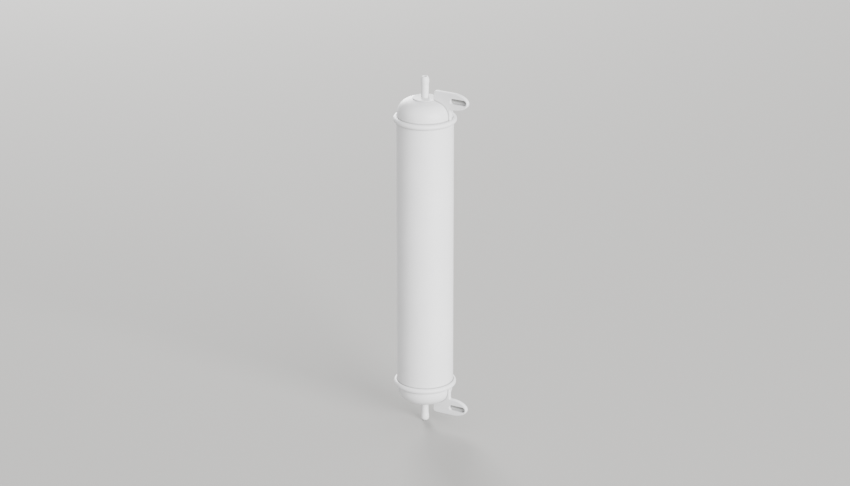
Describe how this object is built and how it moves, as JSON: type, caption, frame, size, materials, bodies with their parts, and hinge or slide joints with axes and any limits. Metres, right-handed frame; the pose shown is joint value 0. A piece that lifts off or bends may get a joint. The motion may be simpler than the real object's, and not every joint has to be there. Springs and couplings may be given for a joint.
{
  "type": "capsule filter",
  "caption": "Sealed in-line water filter: a round plastic housing with a domed cap, hose stem and slotted ear at each end, around a pleated cartridge.",
  "frame": {"origin": "centre of the inlet hose stem's mouth", "axes": "+Z along the capsule from the inlet stem to the outlet stem, +X the way both ears point"},
  "size_m": [0.0847, 0.0664, 0.3866],
  "materials": {
    "housing_plastic": "satin",
    "cartridge_plastic": "satin",
    "seal_rubber": "matte",
    "potting_resin": "gloss",
    "support_fleece": "matte",
    "membrane_sheet": "matte"
  },
  "bodies": {
    "root": {"housing_tube": "housing_plastic", "outlet_cap": "housing_plastic", "inlet_cap": "housing_plastic", "outlet_tube_seal": "seal_rubber", "inlet_tube_seal": "seal_rubber", "open_end_disc": "cartridge_plastic", "closed_end_disc": "cartridge_plastic", "spigot_seal_upper": "seal_rubber", "spigot_seal_lower": "seal_rubber", "open_end_potting": "potting_resin", "closed_end_potting": "potting_resin", "cage_upper": "cartridge_plastic", "cage_lower": "cartridge_plastic", "core_upper": "cartridge_plastic", "core_lower": "cartridge_plastic", "upstream_fleece": "support_fleece", "prefilter_layer": "support_fleece", "membrane": "membrane_sheet", "downstream_fleece": "support_fleece"}
  },
  "joints": []
}
